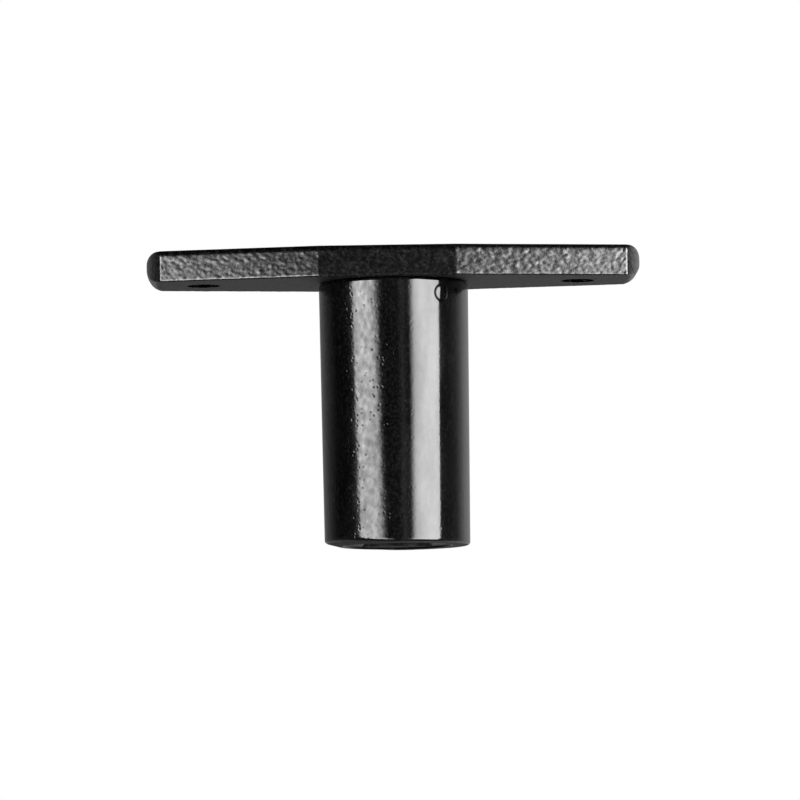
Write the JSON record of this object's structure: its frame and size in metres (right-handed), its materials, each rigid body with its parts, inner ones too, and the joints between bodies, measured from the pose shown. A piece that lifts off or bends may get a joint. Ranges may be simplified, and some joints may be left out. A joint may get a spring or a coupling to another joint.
{
  "type": "radiator bleed key",
  "caption": "T-shaped radiator bleed key: a flat tapering cross-bar handle on a round plastic shank, with a steel square-socket insert in the shank's open end.",
  "frame": {"origin": "centre of the shank's open end face, at the mouth of the square socket", "axes": "+Z along the shank's axis from the socket's mouth up to the handle, +X along the handle's long axis, -Y towards the front"},
  "size_m": [0.04, 0.0122, 0.0239],
  "materials": {
    "textured_plastic": "coarse spark-eroded mould texture, satin black",
    "gloss_black_plastic": "glossy black with a faint ripple and small pits",
    "blackened_steel": "blackened, dull satin"
  },
  "bodies": {
    "root": {"handle_plate": "textured_plastic", "shank": "gloss_black_plastic", "socket_insert": "blackened_steel"}
  },
  "joints": []
}
